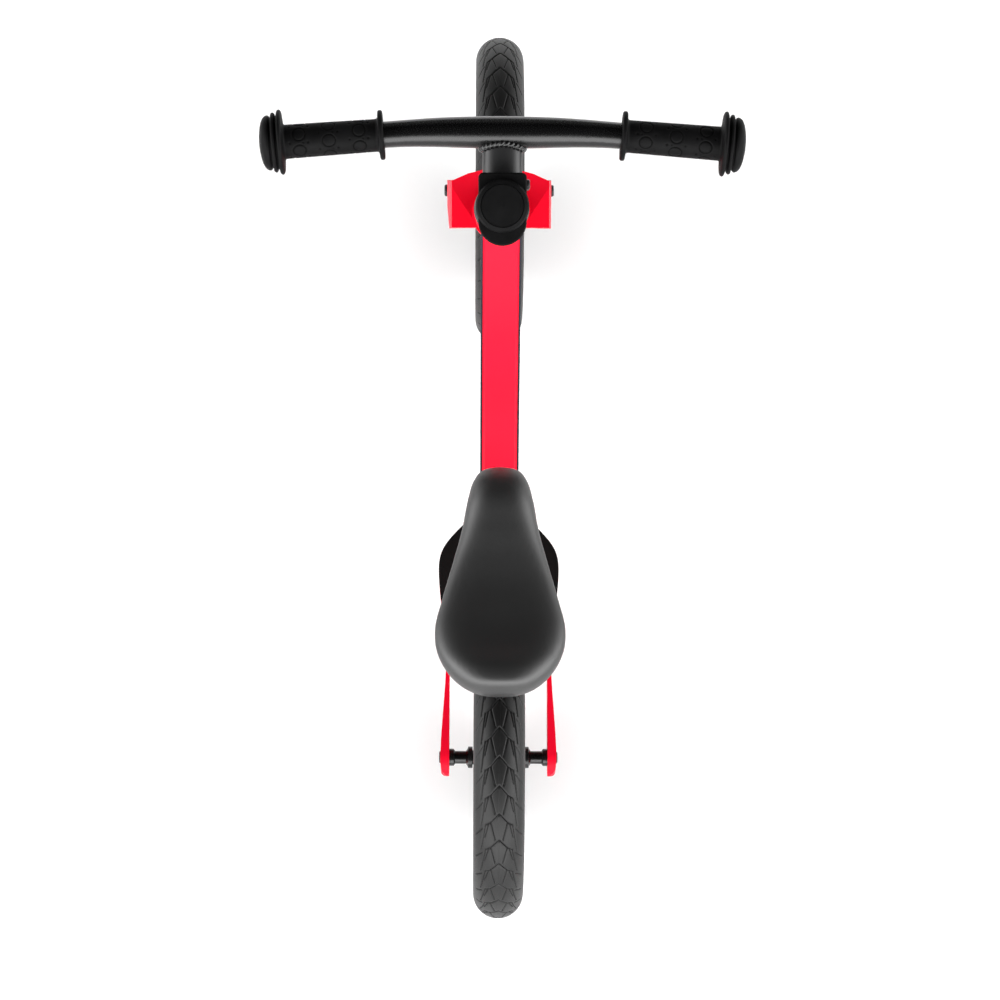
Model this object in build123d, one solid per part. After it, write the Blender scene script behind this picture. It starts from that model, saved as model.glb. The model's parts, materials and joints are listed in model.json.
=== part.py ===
from build123d import *
import os
from math import cos, radians, sin, sqrt, tan

os.makedirs("parts", exist_ok=True)

# A child's balance bike. Millimetres and degrees. +X forward, +Y to the rider's left, +Z up.
# The origin is on the ground, midway between the two axles.

# ---------------------------------------------------------------- driving dimensions
TYRE_RADIUS = 148.0  # outside of a 47-203 tyre
TYRE_HALF_WIDTH = 23.0
WHEELBASE = 562.0
HEAD_ANGLE = 70.5
FORK_OFFSET = 27.0
DROPOUT_HALF_GAP = 45.5  # both axles are held between faces 91 mm apart
DROPOUT_RADIUS = 17.5
FORK_FOOT_RADIUS = 10.0

BEAM_HALF_WIDTH = 16.25
BEAM_WALL = 2.6
TRIM_THICKNESS = 1.5
HEAD_TUBE_LOW = 195.0  # heights along the steering axis, from the axle's level
HEAD_TUBE_HIGH = 335.0
HEAD_TUBE_RADIUS = 22.0
HEAD_RING_RADIUS = 24.0
STEERER_RADIUS = 14.3  # one and one eighth inch

SEAT_TUBE_ANGLE = 70.0
SEAT_TUBE_FOOT = (-115.0, 0.0, 200.0)
SEAT_TUBE_TOP = 98.0  # along the seat tube, from its foot
SEAT_TUBE_RADIUS = 16.0
POST_RADIUS = 12.7  # one inch seatpost
SEAT_PIVOT = 145.0  # saddle clamp bolt, along the seat tube

FOOTREST_TOP = 172.0
FOOTREST_THICKNESS = 11.0
PAD_THICKNESS = 1.4

BAR_REACH = 62.3  # handlebar centre, ahead of the steering axis
BAR_HEIGHT = 403.0  # and along it
BAR_CENTRE_RADIUS = 13.5
BAR_SHOULDER_RADIUS = 11.9
BAR_END_RADIUS = 11.1
BAR_SWEEP = 4.3
BAR_HALF_LENGTH = 199.5
BAR_STRAIGHT = 100.0  # the plain stretch under each grip
GRIP_LENGTH = 104.9
GRIP_END = 204.6

RUNNING = 0.05  # radial clearance of a running fit

# ---------------------------------------------------------------- places
BASE = (Align.CENTER, Align.CENTER, Align.MIN)
REAR_AXLE = (-WHEELBASE / 2, 0.0, TYRE_RADIUS)
FRONT_AXLE = (WHEELBASE / 2, 0.0, TYRE_RADIUS)

AXIS_UP = (-cos(radians(HEAD_ANGLE)), 0.0, sin(radians(HEAD_ANGLE)))
AXIS_AHEAD = (sin(radians(HEAD_ANGLE)), 0.0, cos(radians(HEAD_ANGLE)))
HEAD_FOOT = tuple(FRONT_AXLE[i] - FORK_OFFSET * AXIS_AHEAD[i] for i in range(3))
HEAD = Plane(origin=HEAD_FOOT, x_dir=AXIS_AHEAD, z_dir=AXIS_UP).location

POST_UP = (-cos(radians(SEAT_TUBE_ANGLE)), 0.0, sin(radians(SEAT_TUBE_ANGLE)))
POST_AHEAD = (sin(radians(SEAT_TUBE_ANGLE)), 0.0, cos(radians(SEAT_TUBE_ANGLE)))
SEAT = Plane(origin=SEAT_TUBE_FOOT, x_dir=POST_AHEAD, z_dir=POST_UP).location
PIVOT = tuple(SEAT_TUBE_FOOT[i] + SEAT_PIVOT * POST_UP[i] for i in range(3))


def across(point, side=1):
    """The place of a piece whose own Z axis runs sideways, to the left for side 1, the right for -1."""
    return Plane(origin=point, x_dir=(1, 0, 0), z_dir=(0, side, 0)).location


# ---------------------------------------------------------------- plain shapes
def rod(radius, low, high):
    """A cylinder on the Z axis."""
    return Pos(0, 0, low) * Cylinder(radius, high - low, align=BASE)


def ring(outer, inner, low, high):
    """A tube on the Z axis."""
    return rod(outer, low, high) - rod(inner, low - 1, high + 1)


def lathe(*points):
    """A turned solid about the Z axis, from (radius, height) points."""
    outline = Polyline(*[(radius, 0, height) for radius, height in points], close=True)
    return revolve(make_face(outline), Axis.Z)


def slab(outline, low, high):
    """A face drawn in plan, extruded between two heights."""
    return Pos(0, 0, low) * extrude(outline, high - low)


def cheek(outline, half_width):
    """A face drawn in side view, extruded to both sides of the centre plane."""
    return extrude(Plane.XZ * outline, half_width, both=True)


def mirrored(points):
    """A closed outline symmetric about the X axis, from its left half listed front to back."""
    return points + [(x, -y) for x, y in reversed(points) if abs(y) > 1e-6]


def shifted(points, distance):
    """Points moved off the line through them, to its left."""
    moved = []
    for index, (x, y) in enumerate(points):
        before = points[max(index - 1, 0)]
        after = points[min(index + 1, len(points) - 1)]
        along = (after[0] - before[0], after[1] - before[1])
        step = distance / sqrt(along[0] ** 2 + along[1] ** 2)
        moved.append((x - step * along[1], y + step * along[0]))
    return moved


def pair(piece):
    """A piece on the left and its mirror image on the right, as one group."""
    return group([piece, mirror(piece, Plane.XZ)])


def group(pieces):
    """Separate solids kept together in one node."""
    return Compound(children=[solid for piece in pieces for solid in piece.solids()])


def socket_bolt(shank, length, head, height, hexagon):
    """A round-head bolt: head above Z 0, shank below, with a hexagon socket."""
    top = rod(head, 0, height)
    top = fillet(top.faces().sort_by(Axis.Z)[-1].edges(), min(height * 0.6, head * 0.4))
    key = slab(RegularPolygon(hexagon, 6), height * 0.35, height + 1)
    return top + rod(shank, -length, 0) - key


def balls(count, radius, orbit, height):
    """A ring of bearing balls."""
    return [Pos(0, 0, height) * place * Sphere(radius) for place in PolarLocations(orbit, count)]


# ---------------------------------------------------------------- wheels
HUB_HALF = 23.0
BEARING_WIDTH = 8.0
BEARING_OUTER = 13.0
BEARING_INNER = 5.0
RACE_OUTER_BORE = 11.2
RACE_INNER_EDGE = 6.9
WHEEL_BALL = 2.0
SPOKES = 6
RIM_INNER = 94.0
RIM_EDGE = 108.0
RIM_HALF_WIDTH = 15.0
VALVE_ANGLE = 30.0
TYRE_ORBIT = TYRE_RADIUS - TYRE_HALF_WIDTH
TUBE_RADIUS = 19.4


def rim():
    half = [
        (RIM_INNER, 9.0),
        (99.0, RIM_HALF_WIDTH),
        (RIM_EDGE, RIM_HALF_WIDTH),
        (RIM_EDGE, 12.3),
        (102.0, 12.3),
        (101.0, 8.0),
        (97.0, 6.5),
    ]
    outline = half + [(radius, -height) for radius, height in reversed(half)]
    return lathe(*outline)


def hub():
    waist = 15.0
    end = 17.5
    half = [(end, HUB_HALF), (end, HUB_HALF - 8), (waist, HUB_HALF - 11)]
    outline = half + [(radius, -height) for radius, height in reversed(half)]
    return lathe((8.0, HUB_HALF), *outline, (8.0, -HUB_HALF))


def spoke():
    foot = Plane(origin=(13.5, 0, 0), x_dir=(0, 1, 0), z_dir=(1, 0, 0))
    tip = Plane(origin=(RIM_INNER + 2.5, 0, 0), x_dir=(0, 1, 0), z_dir=(1, 0, 0))
    return loft([foot * RectangleRounded(14, 18, 4), tip * RectangleRounded(18, 11, 4)])


def wheel():
    """Rim, spokes and hub in one casting, about its own Z axis."""
    body = rim() + hub()
    for place in PolarLocations(0, SPOKES):
        body += place * spoke()
    body -= rod(8.0, -HUB_HALF, HUB_HALF)
    for low in (-HUB_HALF, HUB_HALF - BEARING_WIDTH):
        body -= rod(BEARING_OUTER, low, low + BEARING_WIDTH)
    return body - Rot(0, 0, VALVE_ANGLE) * radial(rod(4.2, RIM_INNER - 5, RIM_EDGE))


def radial(piece):
    """A piece built up the Z axis, laid out along the wheel's X axis."""
    return Rot(0, 90, 0) * piece


def tyre():
    """An open casing that hooks inside the rim's two edges."""
    casing = Pos(TYRE_ORBIT, 0) * Circle(TYRE_HALF_WIDTH)
    air = Pos(TYRE_ORBIT, 0) * Circle(TUBE_RADIUS + 0.4)
    mouth = Pos(TYRE_ORBIT - 15, 0) * Rectangle(30, 17.2)
    foot = Pos(RIM_EDGE - 19.5, 0) * Rectangle(28, 60)
    section = casing - air - mouth - foot
    for side in (-1, 1):
        section -= Pos(RIM_EDGE - 9.4, side * 22) * Rectangle(20, 20)
    return revolve(Plane.XZ * section, Axis.Z)


def inner_tube():
    body = revolve(Plane.XZ * (Pos(TYRE_ORBIT, 0) * Circle(TUBE_RADIUS)), Axis.Z)
    body -= revolve(Plane.XZ * (Pos(TYRE_ORBIT, 0) * Circle(TUBE_RADIUS - 1.0)), Axis.Z)
    return body - Rot(0, 0, VALVE_ANGLE) * radial(rod(2.5, 90, TYRE_ORBIT))


def valve():
    stem = rod(4.0, 74.0, TYRE_ORBIT - TUBE_RADIUS - 0.2) + rod(3.4, 68.0, 74.0)
    bore = rod(2.4, 60.0, TYRE_ORBIT)
    return Rot(0, 0, VALVE_ANGLE) * radial(stem - bore)


def valve_cap():
    cap = rod(4.9, 65.0, 74.0)
    cap = chamfer(cap.faces().sort_by(Axis.Z)[0].edges(), 1.0)
    return Rot(0, 0, VALVE_ANGLE) * radial(cap - rod(3.45, 67.5, 75.0))


def outer_races():
    low = HUB_HALF - BEARING_WIDTH
    race = ring(BEARING_OUTER, RACE_OUTER_BORE, low, HUB_HALF)
    return group([race, mirror(race, Plane.XY)])


def inner_races():
    low = HUB_HALF - BEARING_WIDTH
    race = ring(RACE_INNER_EDGE, BEARING_INNER, low, HUB_HALF)
    return group([race, mirror(race, Plane.XY)])


def wheel_balls():
    orbit = RACE_OUTER_BORE - WHEEL_BALL - 0.04
    middle = HUB_HALF - BEARING_WIDTH / 2
    return group(balls(9, WHEEL_BALL, orbit, middle) + balls(9, WHEEL_BALL, orbit, -middle))


def bearing_seals():
    seal = ring(RACE_OUTER_BORE, RACE_INNER_EDGE + 0.3, HUB_HALF - 0.9, HUB_HALF - 0.3)
    return group([seal, mirror(seal, Plane.XY)])


def axle():
    """A round axle with a threaded hole in each end."""
    body = rod(BEARING_INNER, -DROPOUT_HALF_GAP, DROPOUT_HALF_GAP)
    body -= rod(3.0, -DROPOUT_HALF_GAP, 20 - DROPOUT_HALF_GAP)
    return body - rod(3.0, DROPOUT_HALF_GAP - 20, DROPOUT_HALF_GAP)


def spacers():
    """A flanged sleeve each side, from the bearing's inner race out to the dropout."""
    sleeve = lathe(
        (BEARING_INNER, HUB_HALF),
        (6.6, HUB_HALF),
        (6.6, HUB_HALF + 0.8),
        (9.6, HUB_HALF + 0.8),
        (10.0, HUB_HALF + 1.2),
        (10.0, HUB_HALF + 5.0),
        (8.4, HUB_HALF + 5.4),
        (6.0, HUB_HALF + 7.0),
        (6.0, DROPOUT_HALF_GAP - 5.4),
        (7.2, DROPOUT_HALF_GAP - 4.5),
        (8.0, DROPOUT_HALF_GAP - 4.2),
        (8.0, DROPOUT_HALF_GAP),
        (BEARING_INNER, DROPOUT_HALF_GAP),
    )
    return group([sleeve, mirror(sleeve, Plane.XY)])


def axle_bolts(seat):
    """One bolt in each end of an axle, its head on a face this far from the centre."""
    bolt = socket_bolt(3.0, seat - DROPOUT_HALF_GAP + 16, 5.8, 3.0, 2.3)
    bolt = Pos(0, 0, seat) * bolt
    return group([bolt, mirror(bolt, Plane.XY)])


# ---------------------------------------------------------------- frame
BEAM_TOP = [(148, 448), (122, 414), (45, 312), (-27, 233), (-75, 207), (-112, 197)]
BEAM_BOTTOM = [(-118, 152), (-45, 152), (20, 170), (70, 206), (104, 254), (134, 304), (176, 324)]
REAR_BOLT_SEAT = 51.9  # the rear bolt heads are let into the dropouts
FRONT_BOLT_SEAT = 50.5


def beam_outline(inset=0.0):
    top = Spline(*shifted(BEAM_TOP, inset))
    bottom = Spline(*shifted(BEAM_BOTTOM, inset))
    return make_face([top, Line(top @ 1, bottom @ 0), bottom, Line(bottom @ 1, top @ 0)])


def beam():
    body = cheek(beam_outline(), BEAM_HALF_WIDTH)
    return fillet(body.edges().filter_by(GeomType.BSPLINE), 3.0)


def beam_core():
    """The hollow inside the beam, open into the seat tube's bore."""
    core = cheek(beam_outline(BEAM_WALL), BEAM_HALF_WIDTH - BEAM_WALL)
    window = Pos(6, 0, 300) * Box(222, 80, 400)
    return core & window


FOOTREST_EDGE = [(-40, 14), (-68.5, 37.5), (-92, 54), (-113, 56), (-137, 54)]


def rear_plan():
    """Footrest and stays from above, with the rear wheel's space between the stays."""
    edge = Spline(*FOOTREST_EDGE)
    stay = Spline((-137, 54), (-165, 49.6), (-205, 49), (-245, 51.6), (-284, 53.6))
    nose = Line((-284, 53.6), (-292, 53.2))
    tip = ThreePointArc((-292, 53.2), (-297, 50.6), (-298.5, DROPOUT_HALF_GAP))
    inside = Line((-298.5, DROPOUT_HALF_GAP), (-160, DROPOUT_HALF_GAP))
    crotch = Spline(
        (-160, DROPOUT_HALF_GAP),
        (-141, 38),
        (-127, 0),
        tangents=[(1, 0), (0, -1)],
    )
    outer = [edge, stay, nose, tip, inside, crotch]
    other = [mirror(line, Plane.XZ) for line in outer]
    root = Line((-40, 14), (-40, -14))
    return make_face(outer + other + [root])


def rear_profile():
    """Footrest and stays from the side."""
    low = FOOTREST_TOP - FOOTREST_THICKNESS
    axle_x = REAR_AXLE[0]
    axle_z = REAR_AXLE[2]
    top = Spline(
        (-150, FOOTREST_TOP),
        (-205, 168),
        (axle_x, axle_z + DROPOUT_RADIUS),
        tangents=[(-1, 0), (-1, -0.05)],
    )
    end = ThreePointArc(
        (axle_x, axle_z + DROPOUT_RADIUS),
        (axle_x - DROPOUT_RADIUS, axle_z),
        (axle_x, axle_z - DROPOUT_RADIUS),
    )
    bottom = Spline(
        (axle_x, axle_z - DROPOUT_RADIUS),
        (-205, 136),
        (-150, 152),
        (-110, low),
        tangents=[(1, 0.02), (1, 0)],
    )
    sole = Polyline((-110, low), (-40, low), (-40, FOOTREST_TOP), (-150, FOOTREST_TOP))
    return make_face([top, end, bottom, sole])


def rear_section():
    return slab(rear_plan(), 100, 200) & cheek(rear_profile(), 70)


def head_tube():
    flare = 12.0
    return lathe(
        (0, HEAD_TUBE_LOW),
        (HEAD_RING_RADIUS, HEAD_TUBE_LOW),
        (HEAD_RING_RADIUS, HEAD_TUBE_LOW + flare),
        (HEAD_TUBE_RADIUS, HEAD_TUBE_LOW + flare + 5),
        (HEAD_TUBE_RADIUS, HEAD_TUBE_HIGH - flare - 5),
        (HEAD_RING_RADIUS, HEAD_TUBE_HIGH - flare),
        (HEAD_RING_RADIUS, HEAD_TUBE_HIGH),
        (0, HEAD_TUBE_HIGH),
    )


HEAD_BORE = 17.0
HEAD_RACE_OUTER = 21.5
HEAD_RACE_OUTER_BORE = 20.2
HEAD_RACE_INNER_EDGE = 16.3
HEAD_BALL = 1.8
HEAD_RACE_HEIGHT = 7.0
LOWER_RACE = HEAD_TUBE_LOW + 2.0
UPPER_RACE = HEAD_TUBE_HIGH - 2.0 - HEAD_RACE_HEIGHT


def head_bore():
    body = rod(HEAD_BORE, HEAD_TUBE_LOW - 1, HEAD_TUBE_HIGH + 1)
    body += rod(HEAD_RACE_OUTER, HEAD_TUBE_LOW - 1, LOWER_RACE + HEAD_RACE_HEIGHT)
    return body + rod(HEAD_RACE_OUTER, UPPER_RACE, HEAD_TUBE_HIGH + 1)


def seat_tube():
    body = rod(SEAT_TUBE_RADIUS, -38, SEAT_TUBE_TOP)
    return body & Pos(0, 0, 60) * Box(60, 60, 160)


def seat_bore():
    """The seatpost's bore, with the slot that lets the collar close it."""
    slot = Pos(-SEAT_TUBE_RADIUS, 0, SEAT_TUBE_TOP - 12) * Box(16, 2.5, 26)
    return rod(POST_RADIUS + RUNNING, -24, SEAT_TUBE_TOP + 1) + slot


def axle_holes(point, seat):
    hole = rod(3.2, -80, 80)
    hole += rod(6.1, seat, 80) + rod(6.1, -80, -seat)
    return across(point) * hole


def frame():
    """Beam, head tube, seat tube, footrest and stays in one hollow casting."""
    body = beam() + HEAD * head_tube() + SEAT * seat_tube() + rear_section()
    body -= beam_core()
    body -= HEAD * head_bore()
    body -= SEAT * seat_bore()
    return body - axle_holes(REAR_AXLE, REAR_BOLT_SEAT)


def side_trim():
    """A thin panel on the beam's left side, clear of the head tube and the footrest."""
    panel = cheek(beam_outline(1.5), TRIM_THICKNESS / 2)
    panel = Pos(0, BEAM_HALF_WIDTH + TRIM_THICKNESS / 2, 0) * panel
    panel -= HEAD * rod(HEAD_RING_RADIUS + 1.5, 150, 400)
    panel -= SEAT * rod(SEAT_TUBE_RADIUS + 3, -60, 100)
    ahead = BEAM_TOP[-1][0] + 30
    panel -= Pos(ahead - 100, 0, 250) * Box(200, 80, 400)
    return panel - Pos(-38 - 100, 0, FOOTREST_TOP - 100 + 4) * Box(200, 80, 200)


def footrest_pad():
    """Grip sheet over the left footrest, out to its edge."""
    inner = BEAM_HALF_WIDTH + 1
    front, back = (-48.0, -143.0)
    keep = Pos((front + back) / 2, inner + 50, FOOTREST_TOP) * Box(front - back, 100, 20)
    pad = slab(rear_plan(), FOOTREST_TOP, FOOTREST_TOP + PAD_THICKNESS) & keep
    return pad - SEAT * rod(SEAT_TUBE_RADIUS + 1, -60, 60)


# ---------------------------------------------------------------- seat
COLLAR_RADIUS = 19.5
COLLAR_LOW = 82.0
COLLAR_BOLT = (-24.5, 90.0)


def seat_collar():
    body = rod(COLLAR_RADIUS, COLLAR_LOW, SEAT_TUBE_TOP)
    ears = Pos(COLLAR_BOLT[0], 0, COLLAR_BOLT[1]) * Box(13, 17, 14)
    ears = fillet(ears.edges().filter_by(Axis.Y), 3.0)
    body += ears
    body -= rod(SEAT_TUBE_RADIUS, COLLAR_LOW - 1, SEAT_TUBE_TOP + 1)
    body -= Pos(-26, 0, COLLAR_BOLT[1]) * Box(24, 2.5, 30)
    return body - Pos(COLLAR_BOLT[0], 0, COLLAR_BOLT[1]) * across((0, 0, 0)) * rod(2.6, -20, 20)


def seat_collar_bolt():
    bolt = socket_bolt(2.5, 20.5, 4.6, 4.4, 2.0)
    return Pos(COLLAR_BOLT[0], -8.5, COLLAR_BOLT[1]) * across((0, 0, 0), -1) * bolt


def seat_collar_nut():
    nut = slab(RegularPolygon(4.6, 6), 8.5, 12.3) - rod(2.5, 0, 20)
    return Pos(COLLAR_BOLT[0], 0, COLLAR_BOLT[1]) * across((0, 0, 0)) * nut


YOKE_HALF = 15.0
YOKE_RADIUS = 12.5
POST_TOP = 131.0
POST_BOTTOM = -2.0
CLAMP_BOLT = 4.0
RAIL_RADIUS = 3.5
RAIL_HALF_SPACING = 22.0
RAIL_RISE = 9.5  # the rails, above the clamp bolt
PLATE_RADIUS = 14.5


def seatpost():
    return ring(POST_RADIUS, POST_RADIUS - 2.0, POST_BOTTOM, POST_TOP)


def clamp_yoke():
    """A socket over the seatpost's top, with a cross bore for the clamp bolt."""
    body = rod(YOKE_HALF, 121, POST_TOP + 6)
    barrel = Pos(0, 0, SEAT_PIVOT) * across((0, 0, 0)) * rod(YOKE_RADIUS, -YOKE_HALF, YOKE_HALF)
    body += barrel
    body -= rod(POST_RADIUS, 115, POST_TOP)
    bore = rod(CLAMP_BOLT + RUNNING, -30, 30)
    return body - Pos(0, 0, SEAT_PIVOT) * across((0, 0, 0)) * bore


def rail(side=1):
    """One saddle rail, bent up into the base at both ends."""
    level = PIVOT[2] + RAIL_RISE
    y = side * RAIL_HALF_SPACING
    path = FilletPolyline(
        (PIVOT[0] + 72, side * 12, level + 5),
        (PIVOT[0] + 40, y, level),
        (PIVOT[0] - 58, y, level),
        (PIVOT[0] - 78, y, level + 5),
        radius=20,
    )
    start = Plane(origin=path @ 0, z_dir=path % 0)
    return sweep(start * Circle(RAIL_RADIUS), path)


def rails():
    return group([rail(1), rail(-1)])


def clamp_plate(low, high, radius):
    """One half of a rail clamp, left side, split at the rail's centre."""
    half_width = RAIL_RADIUS + 4
    arm = Pos(0, 0, RAIL_RISE / 2 + 3) * Box(2 * half_width + 12, 2, RAIL_RISE + 14)
    arm = Pos(0, (low + high) / 2, 0) * scale(arm, (1, (high - low) / 2, 1))
    disc = across((0, 0, 0)) * rod(radius, low, high)
    plate = Pos(*PIVOT) * ((disc + arm) & (Pos(0, 0, -2) * Box(60, 80, 34)))
    plate -= rail(1)
    return plate - across(PIVOT) * rod(CLAMP_BOLT, -50, 50)


def clamp_inner_plates():
    return pair(clamp_plate(YOKE_HALF + 0.3, RAIL_HALF_SPACING, PLATE_RADIUS))


def clamp_outer_plates():
    return pair(clamp_plate(RAIL_HALF_SPACING, RAIL_HALF_SPACING + 5, PLATE_RADIUS - 1))


def clamp_bolt():
    seat = RAIL_HALF_SPACING + 5
    bolt = socket_bolt(CLAMP_BOLT, 2 * seat + 7, 6.5, 5.0, 3.0)
    return across((PIVOT[0], -seat, PIVOT[2]), -1) * bolt


def clamp_nut():
    seat = RAIL_HALF_SPACING + 5
    nut = slab(RegularPolygon(7.5, 6), seat, seat + 6) - rod(CLAMP_BOLT, 0, 60)
    return across(PIVOT) * nut


SADDLE_BOTTOM = 350.0
SADDLE_RINGS = [  # distance along X, half width, top height
    (-62.5, 8.0, 361),
    (-66.5, 16.0, 368),
    (-76, 23.6, 373.5),
    (-91, 28.2, 375),
    (-120, 33.8, 373.5),
    (-150, 41.8, 371.5),
    (-180, 50.3, 372),
    (-209, 56.0, 374.5),
    (-236, 50.5, 380),
    (-253, 37.5, 384),
    (-263.5, 18.0, 381),
]


def saddle_form():
    """Rounded cross-sections from nose to tail, joined smoothly."""
    low = SADDLE_BOTTOM - 6
    rings = []
    for x, half_width, top in SADDLE_RINGS:
        corner = min(2 * half_width, top - low) * 0.42
        face = Plane(origin=(x, 0, (low + top) / 2), x_dir=(0, 1, 0), z_dir=(1, 0, 0))
        rings.append(face * RectangleRounded(2 * half_width, top - low, corner))
    return loft(rings)


def pan_plan(inset):
    """The space for the base, inside the cover's edge."""
    half = [(x, half_width - inset) for x, half_width, _ in SADDLE_RINGS[2:-1]]
    return make_face(Polyline(*mirrored(half), close=True))


def saddle_cover():
    """The padded cover as a plain closed form, hollowed below for the base."""
    body = saddle_form() & Pos(0, 0, SADDLE_BOTTOM + 50) * Box(800, 200, 100)
    return body - slab(pan_plan(5.0), SADDLE_BOTTOM - 1, SADDLE_BOTTOM + 6.0)


def saddle_base():
    """A moulded pan under the cover, with sockets for the rails."""
    blocks = Pos(PIVOT[0] + 66, 0, SADDLE_BOTTOM) * Box(16, 36, 9)
    blocks += Pos(PIVOT[0] - 73, 0, SADDLE_BOTTOM) * Box(14, 58, 9)
    pan = slab(pan_plan(5.3), SADDLE_BOTTOM + 2.5, SADDLE_BOTTOM + 5.8)
    pan += blocks & slab(pan_plan(5.3), SADDLE_BOTTOM - 10, SADDLE_BOTTOM + 5.8)
    pan -= rail(1)
    return pan - rail(-1)


# ---------------------------------------------------------------- steering
CROWN_UNDER = 164.0
CROWN_TOP = 188.0
BOSS_RADIUS = 26.0


def fork_front():
    """Crown and both legs from the front: distance to the side, height along the axis."""
    foot = -FORK_FOOT_RADIUS - 1
    inner = DROPOUT_HALF_GAP
    half = [
        (CROWN_UNDER, 0),
        (CROWN_UNDER, 40.5),
        (20, inner),
        (foot, inner),
        (foot, inner + 5),
        (20, inner + 5),
        (165, 46.8),
        (CROWN_TOP, 44.6),
        (CROWN_TOP, 0),
    ]
    left = [(y, s) for s, y in half]
    right = [(-y, s) for y, s in reversed(left)]
    outline = make_face(Polyline(*(left[:-1] + right[1:-1] + [left[0]])))
    arch = outline.vertices().sort_by_distance((40.5, CROWN_UNDER))[0]
    other_arch = outline.vertices().sort_by_distance((-40.5, CROWN_UNDER))[0]
    return fillet([arch, other_arch], 20)


def fork_side():
    """Legs from the side: distance ahead of the axis, height along it."""
    rear = Spline((-13, CROWN_TOP), (-12.4, 160), (-3, 90), (FORK_OFFSET - FORK_FOOT_RADIUS, 0))
    end = ThreePointArc(
        (FORK_OFFSET - FORK_FOOT_RADIUS, 0),
        (FORK_OFFSET, -FORK_FOOT_RADIUS),
        (FORK_OFFSET + FORK_FOOT_RADIUS, 0),
    )
    ahead = Spline((FORK_OFFSET + FORK_FOOT_RADIUS, 0), (33.5, 90), (30, 160), (29, CROWN_TOP))
    return make_face([rear, end, ahead, Line((29, CROWN_TOP), (-13, CROWN_TOP))])


def crown_plan():
    """The crown from above: straight at the back, pointed forward in the middle."""
    half = [(41, 0), (41, 13), (36.5, 30), (30.5, 43), (26, 60), (-13, 60), (-13, 0)]
    return make_face(Polyline(*mirrored(half), close=True))


def crown_slope(side):
    """What is cut off the crown's top ahead of a ridge that runs in from its front corner."""
    low = Plane(origin=(26, side * 46, CROWN_TOP), z_dir=(0.18, -side * 0.27, 1))
    block = low * Pos(0, 0, 20) * Box(160, 160, 40)
    return block & (Pos(0, side * 40, CROWN_TOP) * Box(160, 80, 80))


def fork():
    """Crown and two flat legs in one casting."""
    view = extrude(Plane.YZ * fork_front(), 60, both=True)
    legs = view & cheek(fork_side(), 70)
    crown = slab(crown_plan(), CROWN_UNDER - 18, CROWN_TOP) & view
    body = legs + crown
    body -= crown_slope(1)
    body -= crown_slope(-1)
    body += rod(BOSS_RADIUS, CROWN_UNDER, CROWN_TOP)
    body -= rod(STEERER_RADIUS, CROWN_UNDER + 3, CROWN_TOP + 20)
    body -= rod(8.0, CROWN_UNDER - 1, CROWN_UNDER + 4)
    holes = across((FORK_OFFSET, 0, 0)) * rod(3.2, -80, 80)
    return HEAD * (body - holes)


STEM_LOW = 377.0
STEM_TOP = 425.0
STEM_BOLTS = (389.0, 413.0)
STEM_BOLT_AHEAD = 18.4
STEM_HALF_WIDTH = 19.5
STEM_FRONT = 27.0
STEM_BACK_CENTRE = -13.0
SLOT_LENGTH = 15.0
NECK_START = 20.0
NECK_WALL = 3.0
NECK_HALF_WIDTH = 16.8
NECK_HALF_HEIGHT = 9.0
COVER_TOP = 347.0


def steerer():
    low = CROWN_UNDER + 3
    return HEAD * ring(STEERER_RADIUS, STEERER_RADIUS - 2.2, low, STEM_TOP - 3)


def crown_race():
    return HEAD * lathe(
        (STEERER_RADIUS, CROWN_TOP),
        (23.0, CROWN_TOP),
        (23.0, CROWN_TOP + 3),
        (20.0, HEAD_TUBE_LOW - 1),
        (HEAD_RACE_INNER_EDGE, HEAD_TUBE_LOW - 1),
        (HEAD_RACE_INNER_EDGE, LOWER_RACE),
        (STEERER_RADIUS, LOWER_RACE),
    )


def headset_races(outer, inner):
    """The same ring in the head tube's lower and upper bearing."""
    lows = (LOWER_RACE, UPPER_RACE)
    return group([HEAD * ring(outer, inner, low, low + HEAD_RACE_HEIGHT) for low in lows])


def headset_balls():
    orbit = HEAD_RACE_OUTER_BORE - HEAD_BALL - 0.04
    lower = balls(20, HEAD_BALL, orbit, LOWER_RACE + HEAD_RACE_HEIGHT / 2)
    upper = balls(20, HEAD_BALL, orbit, UPPER_RACE + HEAD_RACE_HEIGHT / 2)
    return group([HEAD * ball for ball in lower + upper])


def compression_ring():
    low = UPPER_RACE + HEAD_RACE_HEIGHT
    return HEAD * ring(16.2, STEERER_RADIUS, low, HEAD_TUBE_HIGH + 0.6)


def headset_cover():
    low = HEAD_TUBE_HIGH + 0.6
    return HEAD * lathe(
        (STEERER_RADIUS, low),
        (HEAD_RING_RADIUS, low),
        (HEAD_RING_RADIUS, low + 3),
        (22.5, low + 6.5),
        (19.0, COVER_TOP),
        (STEERER_RADIUS, COVER_TOP),
    )


def headset_spacers():
    split = COVER_TOP + 20.0
    tall = ring(17.5, STEERER_RADIUS, COVER_TOP, split)
    short = ring(17.5, STEERER_RADIUS, split, STEM_LOW)
    return group([HEAD * tall, HEAD * short])


def stem_plan(grow=0.0):
    """The clamp block from above: straight sides and a round back."""
    half = STEM_HALF_WIDTH + grow
    front = STEM_FRONT + grow
    back = STEM_BACK_CENTRE
    sides = Polyline((back, -half), (front, -half), (front, half), (back, half))
    return make_face([sides, ThreePointArc((back, half), (back - half, 0), (back, -half))])


def rounded_block(plan, low, high, radius):
    """An upright block with its two front corners rounded."""
    block = slab(plan, low, high)
    return fillet(block.edges().filter_by(Axis.Z).sort_by(Axis.X)[-2:], radius)


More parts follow.
